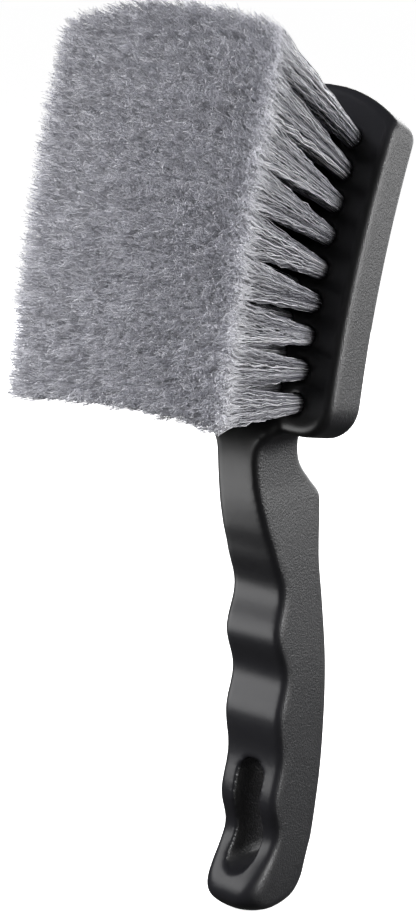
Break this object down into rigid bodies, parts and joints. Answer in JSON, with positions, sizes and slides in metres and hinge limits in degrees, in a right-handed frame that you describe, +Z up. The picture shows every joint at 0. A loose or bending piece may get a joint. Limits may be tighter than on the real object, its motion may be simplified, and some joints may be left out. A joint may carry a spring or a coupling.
{
  "type": "wheel brush",
  "caption": "Short-handled wheel and tyre brush: a moulded plastic head and finger-grooved grip in one piece, with fanned tufts of soft flagged bristle held by flat wire anchors.",
  "frame": {"origin": "centre of the brush's box at the end of the handle, the lowest point of the upright brush", "axes": "+Z up from the end of the handle towards the head; +X across the width, and the brush is symmetric about X = 0; the bristles face -Y"},
  "size_m": [0.0888, 0.1039, 0.2827],
  "materials": {
    "body_plastic": "moulded polypropylene, fine spark-eroded grain on the sides and satin on the front",
    "bristle": "grey crimped filament with feathered, paler tips",
    "anchor_wire": "plain flat wire, hidden in the tuft holes"
  },
  "bodies": {
    "root": {"brush_body": "body_plastic", "tuft_row1_col1": "bristle", "tuft_row1_col2": "bristle", "tuft_row1_col3": "bristle", "tuft_row1_col4": "bristle", "tuft_row1_col5": "bristle", "tuft_row2_col1": "bristle", "tuft_row2_col2": "bristle", "tuft_row2_col3": "bristle", "tuft_row2_col4": "bristle", "tuft_row2_col5": "bristle", "tuft_row3_col1": "bristle", "tuft_row3_col2": "bristle", "tuft_row3_col3": "bristle", "tuft_row3_col4": "bristle", "tuft_row3_col5": "bristle", "tuft_row4_col1": "bristle", "tuft_row4_col2": "bristle", "tuft_row4_col3": "bristle", "tuft_row4_col4": "bristle", "tuft_row4_col5": "bristle", "tuft_row5_col1": "bristle", "tuft_row5_col2": "bristle", "tuft_row5_col3": "bristle", "tuft_row5_col4": "bristle", "tuft_row5_col5": "bristle", "tuft_row6_col1": "bristle", "tuft_row6_col2": "bristle", "tuft_row6_col3": "bristle", "tuft_row6_col4": "bristle", "tuft_row6_col5": "bristle", "tuft_row7_col1": "bristle", "tuft_row7_col2": "bristle", "tuft_row7_col3": "bristle", "tuft_row7_col4": "bristle", "tuft_row7_col5": "bristle", "tuft_row8_col1": "bristle", "tuft_row8_col2": "bristle", "tuft_row8_col3": "bristle", "tuft_row8_col4": "bristle", "tuft_row8_col5": "bristle", "tuft_row9_col1": "bristle", "tuft_row9_col2": "bristle", "tuft_row9_col3": "bristle", "tuft_row9_col4": "bristle", "tuft_row9_col5": "bristle", "anchors_row1": "anchor_wire", "anchors_row2": "anchor_wire", "anchors_row3": "anchor_wire", "anchors_row4": "anchor_wire", "anchors_row5": "anchor_wire", "anchors_row6": "anchor_wire", "anchors_row7": "anchor_wire", "anchors_row8": "anchor_wire", "anchors_row9": "anchor_wire"}
  },
  "joints": []
}
